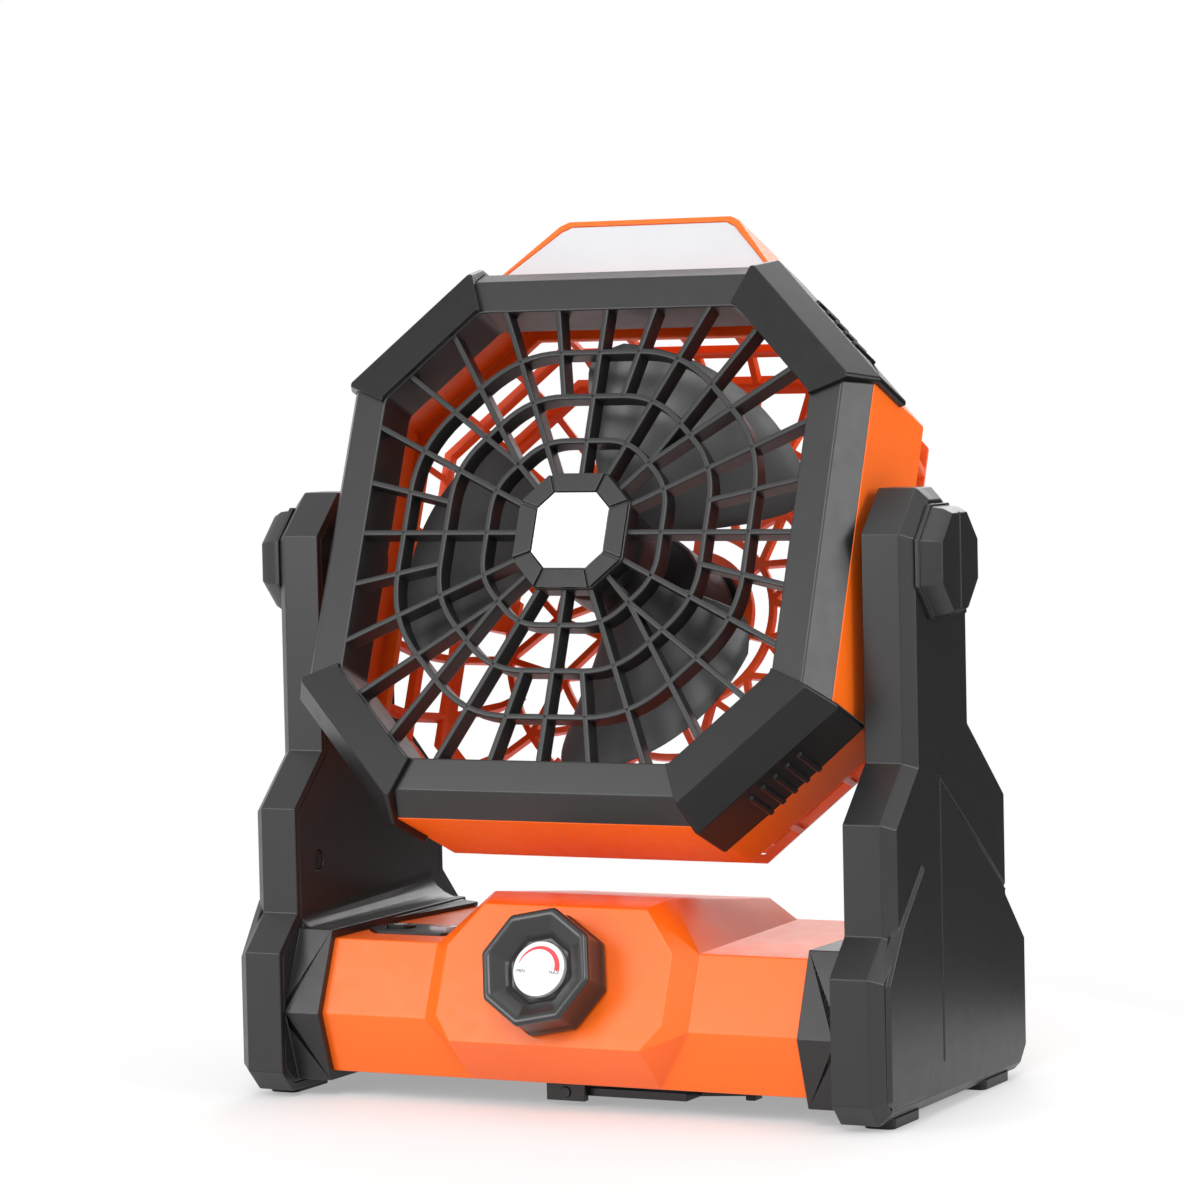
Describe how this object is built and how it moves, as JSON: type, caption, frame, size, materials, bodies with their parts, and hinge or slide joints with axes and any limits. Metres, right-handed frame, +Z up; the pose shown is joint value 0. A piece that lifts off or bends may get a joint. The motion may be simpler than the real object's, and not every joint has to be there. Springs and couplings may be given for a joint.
{
  "type": "portable camping fan",
  "caption": "Tilting camping fan with a lamp in its eight-sided head, carried between two arms on a battery base with a speed knob and a folding hook.",
  "frame": {"origin": "on the surface that the feet stand on, under the middle of the whole fan", "axes": "+X to the right seen from the front, +Y to the back, +Z up; the knob and the grille face -Y"},
  "size_m": [0.212, 0.1316, 0.2478],
  "materials": {
    "black_plastic": "fine satin texture",
    "orange_plastic": "satin",
    "rubber_black": "matt",
    "white_plastic": "satin",
    "frosted_cover": "frosted, translucent",
    "dark_grey_plastic": "satin",
    "steel": "bright",
    "cell_wrap": "wrapped",
    "circuit_board": "green mask"
  },
  "bodies": {
    "base": {"left_arm_outer_shell": "black_plastic", "right_arm_outer_shell": "black_plastic", "left_arm_inner_shell": "black_plastic", "right_arm_inner_shell": "black_plastic", "left_arm_screws": "steel", "right_arm_screws": "steel", "left_pivot_cap": "black_plastic", "right_pivot_cap": "black_plastic", "left_pivot_washer": "white_plastic", "right_pivot_washer": "white_plastic", "left_front_foot": "rubber_black", "right_front_foot": "rubber_black", "left_rear_foot": "rubber_black", "right_rear_foot": "rubber_black", "base_upper_housing": "orange_plastic", "base_bottom_cover": "dark_grey_plastic", "base_screws": "steel", "control_panel": "black_plastic", "main_circuit_board": "circuit_board", "battery_cells": "cell_wrap", "battery_holder": "dark_grey_plastic", "usb_c_socket": "steel", "speed_potentiometer": "dark_grey_plastic", "hook_bracket": "black_plastic", "hook_pin": "steel"},
    "head": {"front_grille": "black_plastic", "hub_badge": "white_plastic", "upper_left_guard": "rubber_black", "upper_right_guard": "rubber_black", "lower_left_guard": "rubber_black", "lower_right_guard": "rubber_black", "head_shell": "orange_plastic", "lamp_diffuser": "frosted_cover", "led_board": "circuit_board", "rear_basket": "orange_plastic", "motor": "steel", "motor_mount": "rubber_black", "motor_screws": "steel", "left_pivot_axle": "dark_grey_plastic", "right_pivot_axle": "dark_grey_plastic", "left_axle_clip": "steel", "right_axle_clip": "steel"},
    "rotor": {"fan_rotor": "dark_grey_plastic", "motor_shaft": "steel"},
    "knob": {"speed_knob": "black_plastic", "knob_dial_disc": "white_plastic", "knob_shaft": "steel"},
    "light_button": {"light_button": "dark_grey_plastic"},
    "power_button": {"power_button": "dark_grey_plastic"},
    "hook": {"hang_hook": "black_plastic"}
  },
  "joints": [
    {"name": "head_tilt", "type": "hinge", "parent": "base", "child": "head", "pos_m": [0, -0.00784, 0.151], "axis": [1, 0, 0], "range_deg": [-113, 156]},
    {"name": "fan_spin", "type": "hinge", "parent": "head", "child": "rotor", "pos_m": [0, -0.00784, 0.151], "axis": [0, 0.9317, -0.3633], "continuous": true},
    {"name": "speed_knob_turn", "type": "hinge", "parent": "base", "child": "knob", "pos_m": [0, -0.04859, 0.0381], "axis": [0, -0.9232, 0.3843], "range_deg": [-270, 0]},
    {"name": "light_button_press", "type": "slide", "parent": "base", "child": "light_button", "axis": [0, 0, -1], "range_m": [0, 0.0008], "stiffness_N_per_m": 400, "springref_m": -0.0005},
    {"name": "power_button_press", "type": "slide", "parent": "base", "child": "power_button", "axis": [0, 0, -1], "range_m": [0, 0.0008], "stiffness_N_per_m": 400, "springref_m": -0.0005},
    {"name": "hook_fold", "type": "hinge", "parent": "base", "child": "hook", "pos_m": [-0.004, -0.00784, 0.004], "axis": [0, 1, 0], "range_deg": [0, 90]}
  ]
}
